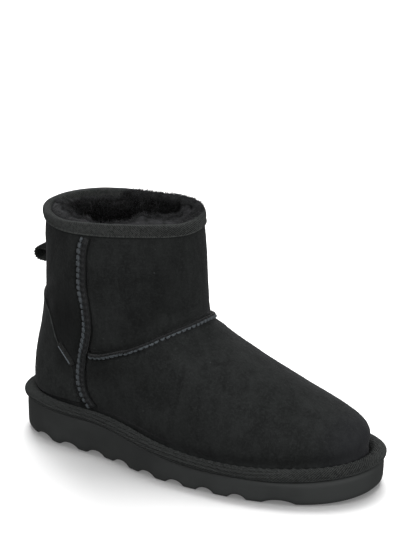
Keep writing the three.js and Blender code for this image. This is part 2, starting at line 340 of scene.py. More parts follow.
class Nodes:
    """A short way to write a node tree: call a node type with its inputs and settings."""

    def __init__(self, name):
        self.material = bpy.data.materials.new(name)
        self.material.use_nodes = True
        self.tree = self.material.node_tree
        self.tree.nodes.clear()
        self.here = self.add("TexCoord", output=3)

    def add(self, kind, output=0, settings=None, **inputs):
        """A new node's output. An input is given by name, or as i and its number."""
        node = self.tree.nodes.new("ShaderNode" + kind)
        for key, value in (settings or {}).items():
            setattr(node, key, value)
        for key, value in inputs.items():
            numbered = key[0] == "i" and key[1:].isdigit()
            socket = node.inputs[int(key[1:]) if numbered else key.replace("_", " ")]
            if isinstance(value, bpy.types.NodeSocket):
                self.tree.links.new(value, socket)
            else:
                socket.default_value = (*value, 1) if socket.type == "RGBA" else value
        return node.outputs[output]

    def math(self, operation, a, b=0.0):
        return self.add("Math", settings=dict(operation=operation), i0=a, i1=b)

    def noise(self, vector, scale, detail=3.0, roughness=0.55, distortion=0.0):
        return self.add("TexNoise", Vector=vector, Scale=scale, Detail=detail,
                        Roughness=roughness, Distortion=distortion)

    def ramp(self, value, low, high, to_low=0.0, to_high=1.0):
        return self.add("MapRange", settings=dict(interpolation_type="SMOOTHSTEP"),
                        Value=value, From_Min=low, From_Max=high, To_Min=to_low, To_Max=to_high)

    def mix(self, share, a, b):
        return self.add("Mix", 2, dict(data_type="RGBA"), i0=share, i6=a, i7=b)

    def total(self, *parts):
        """The sum of values, each given with its weight."""
        parts = [value if weight == 1 else self.math("MULTIPLY", value, weight)
                 for value, weight in parts]
        total = parts[0]
        for part in parts[1:]:
            total = self.math("ADD", total, part)
        return total

    def split(self, vector):
        """The three parts of a vector."""
        return tuple(self.add("SeparateXYZ", Vector=vector).node.outputs)

    def shaken(self, vector, value, reach=0.002):
        """A vector shaken by a value, so that what is drawn with it has ragged edges."""
        return self.add("VectorMath", settings=dict(operation="ADD"), i0=vector,
                        i1=self.add("CombineXYZ", X=self.math("MULTIPLY", value, reach),
                                    Y=self.math("MULTIPLY", value, -reach)))

    def bump(self, height, distance, strength=1.0):
        return self.add("Bump", Height=height, Distance=distance, Strength=strength)

    def finish(self, color, roughness, **inputs):
        """The material, with plain values set straight on the shader's sockets."""
        shader = self.add("BsdfPrincipled", Base_Color=color, Roughness=roughness, **inputs)
        output = self.tree.nodes.new("ShaderNodeOutputMaterial")
        self.tree.links.new(shader, output.inputs[0])
        return self.material


def gray(level, warm=-0.07, cool=-0.015):
    """A dark grey; the boot's greys lean a little to green, as black dye does in bright light."""
    return (level * (1 + warm), level, level * (1 + cool))


def suede(name, level, shade_spots=()):
    """Brushed dark suede: faint patches of turned nap, a fine grain and a few specks of lint.

    A shade spot is a wide soft place darkened as painted shade: row, degrees, radius in mm, strength.
    """
    n = Nodes(name)
    here = n.here
    patches = n.noise(here, 34, 4, 0.62, 0.7)
    streaks = n.noise(n.add("Mapping", Vector=here, Scale=(1.0, 1.0, 0.35)), 130, 4, 0.65, 0.5)
    nap = n.noise(here, 520, 3, 0.75, 0.5)
    grain = n.noise(here, 1500, 2, 0.7)
    tone = n.total((n.ramp(patches, 0.3, 0.7), 0.45), (n.ramp(streaks, 0.33, 0.68), 0.55))
    color = n.mix(tone, gray(level * 0.61), gray(level * 1.37))
    color = n.mix(n.ramp(nap, 0.4, 0.72, 0, 0.55), color, gray(level * 1.9))
    color = n.mix(n.ramp(grain, 0.4, 0.72, 0, 0.38), color, gray(level * 0.35))
    # Painted shade: each spot darkens the suede round its place.
    for row, degrees, radius, strength in shade_spots:
        centre = tuple(place(skin(row, math.radians(degrees))))
        apart = n.add("VectorMath", 1, dict(operation="DISTANCE"), i0=here, i1=centre)
        color = n.mix(n.ramp(apart, 0, radius * MM, strength, 0), color, gray(level * 0.25))
    # Painted highlight: the suede turns paler and bluer towards the toe end.
    toe_highlight = n.ramp(n.split(here)[0], 0.096, 0.132, 0, 0.35)
    color = n.mix(toe_highlight, color, gray(level * 1.7, 0.0, 0.2))
    for scale, share, tint in ((120, 0.80, 0.030), (260, 0.93, 0.045)):       # lint
        distance = n.add("TexVoronoi", Vector=n.shaken(here, nap), Scale=scale)
        cell = n.add("SeparateColor", Color=distance.node.outputs["Color"])
        near = n.ramp(distance, 0.03, 0.09, 1, 0)
        chosen = n.math("GREATER_THAN", cell, share)
        color = n.mix(n.math("MULTIPLY", n.math("MULTIPLY", near, chosen), 0.7), color, gray(tint))
    normal = n.bump(n.total((nap, 0.9), (streaks, 0.8), (grain, 0.4)), 0.0004)
    return n.finish(color, 0.95, Normal=normal, Sheen_Weight=0.06, Sheen_Roughness=0.35,
                    Sheen_Tint=gray(0.9, 0, 0.04), Specular_IOR_Level=0.05)


def sole_foam(name):
    """Moulded foam: finely speckled, a little mottled, and paler under the toes as a painted highlight.
    """
    n = Nodes(name)
    here = n.here
    mottle = n.noise(here, 22, 3, 0.6)
    speckle = n.noise(here, 1400, 2, 0.6)
    # Painted highlight: the foam grows paler towards the toes.
    toes = n.ramp(n.split(here)[0], 0.06, 0.135)
    color = n.mix(n.ramp(mottle, 0.35, 0.7), gray(0.0125), gray(0.0185))
    color = n.mix(n.math("MULTIPLY", toes, 0.5), color, gray(0.0215))
    normal = n.bump(speckle, 0.00012, 0.7)
    return n.finish(color, n.ramp(mottle, 0.3, 0.7, 0.62, 0.74), Normal=normal,
                    Specular_IOR_Level=0.2)


def twill(name, level, pitch, slant=1.0, depth=0.0002, fade=None):
    """Woven tape: diagonal wales and a little fluff, read along the piece.

    fade is (from, to, share): from one place to the other along x, in metres, the cloth grows
    paler towards the toes, and share says how pale its dark part is.
    """
    n = Nodes(name)
    here = n.here
    along, across, _ = n.split(n.add("UVMap", settings=dict(uv_map="lay")))
    diagonal = n.total((along, 1), (across, slant))
    wales = n.math("SINE", n.math("MULTIPLY", diagonal, TURN / pitch))
    weft = n.math("SINE", n.math("MULTIPLY", along, TURN / (pitch * 0.45)))
    fluff = n.noise(here, 620, 3, 0.8)
    mottle = n.noise(here, 60, 3, 0.6)
    weave = n.total((wales, 0.5), (weft, 0.15))
    tone = n.total((weave, 0.22), (fluff, 0.95))
    color = n.mix(n.ramp(tone, 0.38, 0.58), gray(level * 0.28), gray(level * 1.75, -0.05, -0.04))
    color = n.mix(n.ramp(mottle, 0.35, 0.7, 0, 0.3), color, gray(level * 0.7))
    if fade:
        heelward = n.ramp(n.split(here)[0], fade[0], fade[1], 0.45, 0)
        color = n.mix(heelward, color, gray(level * fade[2] * 0.4))
    normal = n.bump(n.total((weave, 1), (fluff, 0.8)), depth)
    return n.finish(color, 0.9, Normal=normal, Sheen_Weight=0.05, Sheen_Roughness=0.4,
                    Sheen_Tint=gray(0.9), Specular_IOR_Level=0.1)


# Below the collar's plane the wool is darkened as painted shade, partly and then deeply, between these
# depths in metres. The plane slopes up towards the toes from the collar's lowest place, at the back,
# given as x and z.
PAINTED_SHADE_FROM_TO = (0.0005, 0.0065)
DEEP_SHADE_FROM_TO = (0.008, 0.022)
COLLAR_SLOPE = 8 / 119
COLLAR_BACK = (-0.123, 0.1715)


def wool(name, level):
    """Curled wool: pale at the tips, with painted shade below the collar and deeper painted shade
    inside.
    """
    n = Nodes(name)
    here = n.here
    clumps = n.noise(here, 110, 4, 0.65, 0.8)
    fibre = n.noise(here, 1100, 2, 0.7, 1.5)
    color = n.mix(n.ramp(clumps, 0.35, 0.7), gray(level * 0.45), gray(level * 1.5, 0.0, 0.06))
    along, _, up = n.split(here)
    level_up = COLLAR_BACK[1] - COLLAR_BACK[0] * COLLAR_SLOPE
    rim = n.math("ADD", n.math("MULTIPLY", along, COLLAR_SLOPE), level_up)
    depth = n.math("SUBTRACT", rim, up)
    # Painted shade, growing with depth below the collar's plane.
    painted_shade = n.mix(n.ramp(clumps, 0.35, 0.7), gray(level * 0.07), gray(level * 0.28))
    color = n.mix(n.ramp(depth, *PAINTED_SHADE_FROM_TO), color, painted_shade)
    color = n.mix(n.ramp(depth, *DEEP_SHADE_FROM_TO), color, gray(level * 0.035))
    normal = n.bump(n.total((fibre, 1), (clumps, 2.0)), 0.0006)
    return n.finish(color, 0.95, Normal=normal, Sheen_Weight=0.06, Sheen_Roughness=0.4,
                    Sheen_Tint=gray(0.9, 0, 0.05), Specular_IOR_Level=0.05)


def thread(name, level):
    """Spun thread or a raw suede edge: fine dark flecks between paler fibres."""
    n = Nodes(name)
    here = n.here
    twist = n.noise(here, 900, 2, 0.6, 1.0)
    flecks = n.noise(here, 2200, 2, 0.7)
    dark, pale = (gray(level * share, -0.14, 0.12) for share in (0.6, 1.3))
    color = n.mix(n.ramp(twist, 0.3, 0.7), dark, pale)
    color = n.mix(n.ramp(flecks, 0.42, 0.62, 0, 0.6), color, gray(level * 0.25))
    return n.finish(color, 0.7, Normal=n.bump(twist, 0.0002, 0.8), Sheen_Weight=0.04,
                    Specular_IOR_Level=0.2)


# Painted shade round the side seam, above the instep seam and on the front of the shaft.
PAINTED_SHADE_SPOTS = [(6.0, -119, 40, 0.62), (4.4, -109, 24, 0.5), (6.1, -68, 26, 0.42), (7.3, -42, 36, 0.32),
            (8.5, -38, 26, 0.2)]
SUEDE = suede("suede", 0.0100, PAINTED_SHADE_SPOTS)
# On the counter, a spot of painted shade between its edge and the side seam.
COUNTER_SUEDE = suede("counter_suede", 0.0125, [(3.9, -127, 24, 0.45)])
RAW_EDGE = thread("suede_raw_edge", 0.0045)
FOAM = sole_foam("sole_foam")
TAPE = twill("collar_tape", 0.0190, 0.0016, depth=0.0006)
RAND_CLOTH = twill("rand_twill", 0.0140, 0.0021, slant=-1.2, depth=0.0005, fade=(0.05, 0.09, 0.5))
LOOP_TAPE = twill("loop_tape", 0.0140, 0.0012)
WOOL = wool("wool_pile", 0.018)
THREAD = thread("seam_thread", 0.052)
SELVEDGE = twill("tape_selvedge", 0.026, 0.0012)
LABEL = twill("label_tape", 0.010, 0.0008)
LABEL_STRIPE = thread("label_stripe", 0.07)
# The counter's real cut edge, drawn paler than the counter suede as a painted highlight.
CUT_EDGE_HIGHLIGHT = suede("suede_cut_edge_highlight", 0.026)


# ---------- seams, as (row, degrees) on the upper; the inner side seam mirrors the outer ----------

SIDE_SEAM = np.array([
    [9.15, -95], [8.85, -96.5], [8.5, -98], [8.05, -98.5], [7.4, -98.5], [6.9, -98], [6.4, -99.5],
    [5.9, -103], [5.25, -110.5], [4.5, -117.5], [3.6, -122], [2.7, -123.5], [1.7, -122], [0.7, -118.5]])
INSTEP_SEAM = np.array([                     # round the front, from the outer to the inner side
    [4.53, -113], [4.53, -111], [4.67, -106], [4.87, -101], [5.13, -94.5], [5.3, -90], [5.41, -85],
    [5.53, -78.5], [5.7, -68.5], [5.86, -57.5], [6.01, -47], [6.22, -26.5], [6.3, -5], [6.22, 13],
    [6.03, 31], [5.82, 52], [5.6, 71], [5.39, 85], [5.29, 90], [5.13, 94.5], [4.67, 106], [4.53, 113]])
COUNTER_EDGE = np.array([                    # from the back of the heel down to the rand
    [6.5, -180], [6.47, -170], [6.4, -158], [6.26, -147], [6.12, -140], [5.95, -135.5], [5.5, -133.5],
    [5.0, -133], [4.5, -131], [4.05, -128.5], [3.6, -126], [3.1, -125.5], [2.5, -126],
    [1.8, -125], [1.15, -122.5]])
TAG_ROWS = (4.6, 3.55)                       # where the tag is caught along that edge


def along_path(table, spacing, start=0.0):
    """Rows and angles evenly spaced in millimetres along a table of them."""
    dense = smooth_profile(table, len(table) * 40, closed=False)
    length = lengths_along(skin(dense[:, 0], np.radians(dense[:, 1])))
    goal = np.arange(start, length[-1], spacing)
    return np.interp(goal, length, dense[:, 0]), np.radians(np.interp(goal, length, dense[:, 1]))


def frames(row, angle):
    """Places along a path on the upper, with their ahead, aside and outward directions."""
    base, normal = on_skin(row, angle)
    ahead = unit(np.gradient(base, axis=0))
    return base, ahead, unit(np.cross(normal, ahead)), normal


# Each seam is a row of thread pads along its path and a raised raw edge beside them: which way
# the edge lies, how far apart the pads are, their length, width and height, how much narrower
# they are away from the edge, the edge's place, half width and height, and how the pads' width
# varies along the seam.
SIDE_STITCHING = dict(pitch=4.5, pad=(4.0, 3.9, 2.4), taper=0.85, edge=(3.7, 1.7, 2.3), swell=[
    (0, 0.55), (0.05, 0.95), (0.3, 1.0), (0.38, 0.66), (0.46, 0.62), (0.54, 0.95), (0.7, 0.8),
    (0.85, 1.0), (1, 0.8)])
INSTEP_STITCHING = dict(pitch=4.1, pad=(5.2, 2.5, 2.4), taper=0.35, edge=(1.7, 0.8, 2.1), swell=[
    (0, 0.95), (0.09, 0.9), (0.17, 0.6), (0.36, 0.66), (0.46, 0.95), (1, 0.95)])
SEAMS = {
    "side_seam_outer": dict(table=SIDE_SEAM, toward=1, **SIDE_STITCHING),
    "side_seam_inner": dict(table=SIDE_SEAM * [1, -1], toward=-1, **SIDE_STITCHING),
    "instep_seam": dict(table=INSTEP_SEAM, toward=1, **INSTEP_STITCHING),
}


# ---------- creases: soft troughs (negative) and ridges, placed in millimetres ------------------

CREASE_REACH = 25                # how far off the suede's plain face a crease still acts
CREASES = [  # degrees, row, tilt from level in degrees, half length, half width, height
    (-141, 7.0, 35, 15, 5.0, -1.2),
    (-160, 8.4, 10, 22, 9.0, 1.0),
    (-139, 6.3, 40, 15, 6.0, -1.5),
    (-128, 7.4, -20, 20, 7.0, 0.5),
    (-70, 6.6, -25, 22, 5.0, -0.7),
    (-45, 7.2, -15, 20, 6.0, 0.55),
    (-30, 6.8, -8, 16, 4.0, -0.6),
    (-75, 8.3, 60, 24, 9.0, 0.5),
    (-55, 5.2, -35, 24, 6.0, 0.6),
    (-78, 4.2, -25, 30, 7.0, -0.5),
    (-30, 4.6, -60, 22, 8.0, 0.45),
    (150, 6.8, -35, 18, 6.0, -0.9),
    (120, 6.1, 20, 22, 6.0, -0.8),
    (70, 6.5, 25, 22, 5.0, -0.8),
    (45, 7.3, 12, 20, 6.0, 0.6),
    (60, 5.0, 35, 26, 6.0, 0.3),
    (85, 3.9, 20, 30, 7.0, -0.5),
]


# Round each seam, in millimetres: the height of the suede there, how far it is from its line, and
# its half width. The gutters run beyond the raw edge and before the stitches.
FAR_GUTTER, NEAR_GUTTER, SEAM_SWELL = (-1.9, 0, 1.5), (-0.9, 0, 1.1), (0.5, 8.5, 3.5)


def near_line(points, line):
    """Distance from each point to a line of points, in chunks."""
    best = np.full(len(points), np.inf)
    for chunk in np.array_split(np.arange(len(line)), max(1, len(line) // 24)):
        gap = np.linalg.norm(points[:, None] - line[None, chunk], axis=-1).min(1)
        best = np.minimum(best, gap)
    return best


def relief(row, points):
    """How far the suede stands off the plain last: creases, the gutters on both sides of each
    seam and the swell round it, a soft unevenness, and the pull of the rand's stitches."""
    flat, height = points.reshape(-1, 3), np.zeros(points.size // 3)
    for degrees, at_row, tilt, half_length, half_width, rise in CREASES:
        centre, normal = on_skin(at_row, math.radians(degrees))
        level = unit(np.cross(normal, [0, 0, 1.0]))
        up = np.cross(level, normal)
        turn = math.radians(tilt)
        along = level * math.cos(turn) - up * math.sin(turn)
        across = np.cross(normal, along)
        away = flat - centre
        height += rise * bell(away @ along / half_length, away @ across / half_width,
                              away @ normal / CREASE_REACH)
    for made in SEAMS.values():
        base, _, aside, _ = frames(*along_path(made["table"], 1.5))
        middle, half, _ = made["edge"]
        far_side = aside * made["toward"] * (middle + half + 0.5)
        near_side = -aside * made["toward"] * (made["pad"][1] / 2 + 0.4)
        for line, (rise, away, width) in (
                (base + far_side, FAR_GUTTER), (base + near_side, NEAR_GUTTER), (base, SEAM_SWELL)):
            height += rise * bell((near_line(flat, line) - away) / width)
    height += 0.18 * waves(flat, 46, 3) + 0.1 * waves(flat, 12, 4)
    height = height.reshape(row.shape)
    free = smooth(0, 0.7, row) * (1 - smooth(9.0, 9.4, row))      # between the sole and the tape
    x = points[..., 0]
    from_rand = row - 0.09 * rand_height(x)
    drawn_in = (1.1 + 0.8 * smooth(60, 120, x)) * bell(from_rand / 0.42)
    return height * free - drawn_in * smooth(0, 0.3, row)


# ---------- upper ----------

def upper():
    """Suede shell: the outer face with its relief, and an inner face that the fleece covers."""
    thick, clear = 2.4, 0.3                     # the suede's, and the gap under it
    angles = column_angles(320)
    rows = np.concatenate([np.linspace(0, 2, 24, False), np.linspace(2, 8, 92, False),
                           np.linspace(8, COLLAR, 24)])
    row, angle = np.meshgrid(rows, angles, indexing="ij")
    base, normal = on_skin(row, angle)
    outside = base + normal * relief(row, base)[..., None]
    outside[0, :, 2] += clear
    inner_row = np.linspace(COLLAR, 0.4, 14)[:, None]
    inside, foot = off_skin(inner_row, angles, -thick), off_foot(angles, -thick, clear)
    grid = np.concatenate([outside, inside, foot[None]])
    obj = add_object(grid_mesh("upper_suede", grid, True, True), SUEDE)
    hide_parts("upper")


# ---------- sole, rand and heel counter ----------

# Across the tread: place, width and depth. The last one is wide and shallow, under the toes.
GROOVES = [(29.9 + 23.8 * i, 18 - 0.65 * i, 3.2) for i in range(8)] + [(225, 22, 2.6)]


def tread(x):
    """Height of the scalloped grooves above the floor."""
    height = np.zeros_like(x)
    for at, width, depth in GROOVES:
        radius = ((width / 2) ** 2 + depth ** 2) / (2 * depth)
        inside = np.clip(radius ** 2 - (x - at) ** 2, 0, None)
        height = np.maximum(height, np.sqrt(inside) - (radius - depth))
    return height


# The rounding of the sole's lower edge, from the tread outwards: out from the side, and up.
SOLE_EDGE = ((-26, 0), (-12, 0), (-3.4, 0), (-2.0, 0.5), (-0.9, 1.5), (-0.25, 2.8), (0, 4.4))
TREAD_RINGS = 2                  # of those, the ones that lie too far in to be rounded


def outsole():
    """Moulded wedge with a rounded lower edge, faintly bulging sides and scallops underneath."""
    ledge, bulge = SOLE["ledge"], 0.25
    angles = column_angles(960)
    x = off_foot(angles, ledge, 0)[:, 0]
    round_off = blend(1.25, 0.6, smooth(60, 150, x)) + 0.45 * smooth(190, 240, x)
    full = 0.8 * smooth(185, 250, x)                     # the foam swells at the toes
    layers = []
    for k, (out, height) in enumerate(SOLE_EDGE):
        ring = off_foot(angles, ledge + (out if k < TREAD_RINGS else out * round_off + full), 0)
        up = height * round_off
        ring[:, 2] = sole_bottom(ring[:, 0]) + up + tread(ring[:, 0]) * (1 - smooth(3.0, 9.0, up))
        layers.append(ring)
    low = layers[-1][:, 2]
    for share in (0.15, 0.4, 0.7, 0.9):
        ring = off_foot(angles, ledge + full + bulge * math.sin(math.pi * share), 0)
        ring[:, 2] = blend(low, ring[:, 2], share)
        layers.append(ring)
    for inset, height in ((0.15, -0.35), (0.6, 0), (16, 0)):             # the ledge
        layers.append(off_foot(angles, ledge - inset, height))
    obj = add_object(slab_mesh("outsole_foam", layers), FOAM)
    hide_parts("outsole")


PUCKER = 6.3                     # from one of the rand's stitches to the next
FOLD = 3.1                       # from one of its long folds to the next, round the roll


def rand():
    """The padded roll: its upper edge is drawn in by stitches, and its cloth lies in long folds."""
    angles = column_angles(960)
    ledge = SOLE["ledge"]
    corners = [(0.6, 0.04), (ledge - 2.5, 0.04), (ledge + 0.9, 0.14), (ledge + 2.5, 0.34),
               (ledge + 2.2, 0.62), (ledge - 0.6, 0.88), (ledge - 4.0, 1), (ledge - 6.4, 0.95),
               (1.7, 0.68), (1.0, 0.38)]              # out from the foot line, share of the height
    profile = smooth_profile(corners, 72)
    across_roll = [1, 7]                          # what a step of the profile is in millimetres
    middle = off_foot(angles, ledge, 0)
    x = middle[:, 0]
    tall = rand_height(x)
    along = lengths_along(middle)
    pucker = np.sin(along * TURN / PUCKER + 0.9 * np.sin(along / 31))
    fore = smooth(95, 150, x)                     # puckers grow towards the toes
    folds = smooth(22, 60, x) * (1 - smooth(205, 240, x))
    grid = []
    travelled = 0.0
    for k, (out, up) in enumerate(profile):
        travelled += math.dist(profile[k - 1] * across_roll, profile[k] * across_roll) if k else 0
        ring = off_foot(angles, out, up * tall)
        crest = bell((out - (ledge - 5.0)) / 2.6) * (up > 0.5)
        side = smooth(ledge - 4.5, ledge - 1.5, out) * (up > 0.1)
        drift = 0.5 * waves(ring, 60, 12, 1)
        long_folds = np.sin(travelled * TURN / FOLD + drift * 2.2) * folds * side
        push = (0.5 * crest * pucker * (0.25 + 0.75 * fore) + 0.34 * long_folds
                + 0.2 * side * waves(ring, 19, 11, 2) * (0.4 + folds))
        inner = skin(0, angles)
        inner[:, 2] = sole_top(ring[:, 0]) - 2
        grid.append(ring + unit(ring - inner) * push[:, None])
    obj = add_object(grid_mesh("rand_wrap", grid, True, True), RAND_CLOTH)
    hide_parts("rand")


def coons(bottom, top, left, right, rows, columns):
    """A patch between four edges, each a table of (row, angle)."""
    bottom, top = (smooth_profile(edge, columns, closed=False) for edge in (bottom, top))
    left, right = (smooth_profile(edge, rows, closed=False) for edge in (left, right))
    u = np.linspace(0, 1, columns)[None, :, None]
    v = np.linspace(0, 1, rows)[:, None, None]
    ruled_v = (1 - v) * bottom[None] + v * top[None]
    ruled_u = (1 - u) * left[:, None] + u * right[:, None]
    corners = ((1 - u) * (1 - v) * bottom[0] + u * (1 - v) * bottom[-1]
               + (1 - u) * v * top[0] + u * v * top[-1])
    return ruled_v + ruled_u - corners


def over_the_back(table):
    """The mirrored path. Its angles run on past 180 degrees, so that the patch is one piece."""
    return np.column_stack([table[:, 0], -360 - table[:, 1]])


def heel_counter():
    """A suede overlay with a rolled edge, cut to its own top line."""
    rows, columns = 70, 150
    side = COUNTER_EDGE[9:][::-1]                       # from the rand up to the corner
    top = COUNTER_EDGE[:10][::-1]                       # from that corner up to the back
    far_side = over_the_back(side)
    top_line = np.vstack([top, over_the_back(top)[::-1][1:]])
    bottom_line = np.array([side[0], [0.8, -150], [0.75, -180], [0.8, -210], far_side[0]])
    patch = coons(bottom_line, top_line, side, far_side, rows, columns)
    row, angle = patch[..., 0], np.radians(patch[..., 1])
    base, normal = on_skin(row, angle)
    edge_v = np.minimum(np.arange(rows), np.arange(rows)[::-1])[:, None] * 1.1
    edge_u = np.minimum(np.arange(columns), np.arange(columns)[::-1])
    inset = np.clip(np.minimum(edge_v, edge_u) / 1.6, 0, 1)
    rounded = np.sqrt(np.clip(1 - (1 - inset) ** 2, 0.12, 1))
    thick = np.linspace(1.7, 0.55, rows)[:, None] * rounded
    lift = relief(row, base) * 0.7 + 0.1 * waves(base, 20, 21)
    outer = base + normal * (0.15 + thick + lift)[..., None]
    inner = base + normal * 0.1
    faces, _ = grid_faces(rows, columns)
    count = rows * columns
    index = np.arange(count).reshape(rows, columns)
    rim = np.concatenate([index[0], index[1:, -1], index[-1, -2::-1], index[-2:0:-1, 0]])
    ahead = np.roll(rim, -1)
    walls = np.stack([ahead, rim, rim + count, ahead + count], 1)
    everything = np.vstack([faces, faces[:, ::-1] + count, walls])
    points = np.concatenate([outer.reshape(-1, 3), inner.reshape(-1, 3)])
    mesh = make_mesh("heel_counter_suede", points, everything)
    obj = add_object(mesh, COUNTER_SUEDE)
    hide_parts("heel_counter")
    # The cut edge is a cord over the heel, from one tag's place to the other, paler than the counter as
    # a painted highlight.
    row, angle = along_path(np.vstack([side[:-1], top_line, far_side[::-1][1:]]), 1.2)
    pale = np.flatnonzero(row > TAG_ROWS[0])
    row, angle = row[pale[0]:pale[-1]], angle[pale[0]:pale[-1]]
    behind = smooth(math.radians(40), math.radians(28), np.abs(angle + math.pi))
    tube("heel_counter_edge", off_skin(row, angle, 0.95 - 0.5 * behind), 0.45, CUT_EDGE_HIGHLIGHT)


# ---------- tape round the collar, and the loop ----------

BINDING_SAG = np.array([         # degrees, how far the tape's lower edge hangs below its line
    [-180, -0.6], [-165, -2.2], [-150, -2.0], [-125, -0.3], [-105, 0.4], [-85, 0.3], [-65, -0.8],
    [-45, -0.6], [-20, 0.8], [10, 0.6], [45, 0.8], [90, -0.3], [135, 0.7], [165, 0.0], [180, -0.6]])


def collar_binding():
    """Tape folded over the collar: a flat outer leg, a soft roll on top and a short inner leg."""
    angles = column_angles(720)
    low = COLLAR - 0.74
    corners = [  # row, out, lift
        (low, 0.25, 0.4), (low, 0.9, -0.15), (low, 1.5, 0.25), (low + 0.18, 1.6, 0),
        (COLLAR - 0.32, 2.1, 0), (COLLAR, 1.9, 0.1), (COLLAR, 1.0, 1.2), (COLLAR, -0.6, 1.6),
        (COLLAR, -2.0, 1.4), (COLLAR, -3.3, 0.7), (COLLAR, -3.9, -0.3), (low, -4.4, 0),
        (low, -4.0, 0), (COLLAR - 0.3, -3.5, 0), (COLLAR, -2.7, 0.2), (COLLAR, 0.0, 0.3),
        (COLLAR - 0.3, 0.35, 0)]
    profile = smooth_profile(corners, 76)
    degrees = np.degrees((angles + math.pi) % TURN - math.pi)
    sag = np.interp(degrees, BINDING_SAG[:, 0], BINDING_SAG[:, 1])
    sag = (np.roll(sag, 14) + np.roll(sag, -14) + 2 * sag + np.roll(sag, 28) + np.roll(sag, -28)) / 6
    grid = np.array([off_skin(min(row, COLLAR), angles, out, lift) for row, out, lift in profile])
    normal = skin_normal(COLLAR - 0.3, angles)
    for k, (row, out, lift) in enumerate(profile):
        grid[k, :, 2] -= sag * smooth(COLLAR, low, row) * (out > 0)
        if out > -3.5 and lift + out > 0.9:
            grid[k] += normal * (0.2 * waves(grid[k], 17, 31, 2))[:, None]
    obj = add_object(grid_mesh("collar_tape", grid, True, True), TAPE)
    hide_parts("collar_binding")
    # Its woven edge shows as a thin pale line.
    edge = off_skin(low, angles, 1.45, 0.25)
    edge[:, 2] -= sag
    ring = np.linspace(0, TURN, 8, endpoint=False)
    cord = np.array([edge + normal * (0.42 * math.cos(a)) + [0, 0, 0.5 * math.sin(a)] for a in ring])
    add_object(grid_mesh("collar_tape_edge", cord, True, True), SELVEDGE)


LOOP = dict(height=10.4, reach=14.2, width=14.5, thick=1.9, at=129.7, seat=14.7, rib=0.45,
            rib_pitch=1.9)


def pull_loop():
    """A short ribbed strap, looped out of the back of the shaft."""
    half = LOOP["height"] / 2 - LOOP["thick"] / 2
    nose = LOOP["seat"] - LOOP["reach"] + LOOP["height"] / 2
    straight = np.linspace(LOOP["seat"] + 2.0, nose, 10)[:-1]
    turn = np.linspace(math.pi / 2, 1.5 * math.pi, 40)
    level = np.full(len(straight), LOOP["at"])
    path = np.vstack([np.column_stack([straight, level + half]),
                      np.column_stack([nose + half * np.cos(turn), LOOP["at"] + half * np.sin(turn)]),
                      np.column_stack([straight[::-1], level - half])])
    length = lengths_along(path)
    goal = np.linspace(0, length[-1], 220)
    path = np.column_stack([np.interp(goal, length, path[:, 0]), np.interp(goal, length, path[:, 1])])
    ahead = unit(np.gradient(path, axis=0))
    outward = np.column_stack([ahead[:, 1], -ahead[:, 0]])
    ribs = LOOP["rib"] * np.cos(goal * TURN / LOOP["rib_pitch"])
    half_width, half_thick = LOOP["width"] / 2, LOOP["thick"] / 2 - 0.15
    section = smooth_profile([(a * half_width, b * half_thick) for a, b in (
        (-1, 0.4), (-1, 0.8), (-0.8, 1), (0, 1.05), (0.8, 1), (1, 0.8), (1, 0.4),
        (1, -0.6), (0.8, -1), (0, -1), (-0.8, -1), (-1, -0.6))], 36)
    across, up = section.T
    grid = []
    for point, out, rib in zip(path, outward, ribs):
        off = up * (1 + 0.1 * rib) + np.where(up > 0.3, rib, 0)
        grid.append(np.column_stack([point[0] + out[0] * off, across, point[1] + out[1] * off]))
    grid = np.array(grid)
    faces, _ = grid_faces(*grid.shape[:2], False, True)
    ring = np.arange(len(section))
    ends = np.vstack([ring[::-1], ring + (len(grid) - 1) * len(section)])
    mesh = make_mesh("pull_loop_ribbed", grid, faces, ends)
    obj = add_object(mesh, LOOP_TAPE)
    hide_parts("pull_loop")


# ---------- raised seams ----------

def squared(value, power=0.52):
    """A sine or cosine drawn towards a square wave."""
    return np.sign(value) * np.abs(value) ** power


def round_pad(rings=9, sides=20):
    """A pad like a rounded square, one unit each way from its middle."""
    tilt = np.radians(np.linspace(-82, 82, rings))[:, None]
    turn = np.linspace(0, TURN, sides, endpoint=False)[None]
    out = squared(np.cos(tilt))
    return np.stack([out * squared(np.cos(turn)), out * squared(np.sin(turn)),
                     squared(np.sin(tilt)) + 0 * turn], -1)


def raw_edge(name, made, spacing=0.6):
    """The raised cut edge beside a seam's stitches, drawn in a little by each of them."""
    base, _, aside, normal = frames(*along_path(made["table"], spacing))
    middle, half, tall = made["edge"]
    across, up = smooth_profile([
        (-half * 0.8, -1.0), (-half, 0.6 * tall), (-half * 0.6, tall), (-half * 0.1, 0.78 * tall),
        (half * 0.4, 0.98 * tall), (half * 1.05, 0.72 * tall), (half, 0.25 * tall),
        (half * 0.5, -1.0)], 30).T[:, None]
    travelled = np.arange(len(base)) * spacing
    ends = np.clip(np.minimum(travelled, travelled[-1] - travelled) / 2.5, 0.05, 1) ** 0.5
    drawn_in = 1 - 0.13 * np.cos((travelled / made["pitch"] - 0.5) * TURN)
    uneven = ends * drawn_in * (1 + 0.12 * waves(base, 9, 41, 2))
    y = made["toward"] * (middle + across * (0.6 + 0.4 * drawn_in[:, None]))
    z = np.where(up > 0, up * uneven[:, None], up)
    z = z + 0.14 * rng.normal(size=z.shape) * (up > 0.3)
    grid = base[:, None] + aside[:, None] * y[..., None] + normal[:, None] * z[..., None]
    add_object(grid_mesh(name + "_edge", grid, False, True), RAW_EDGE)


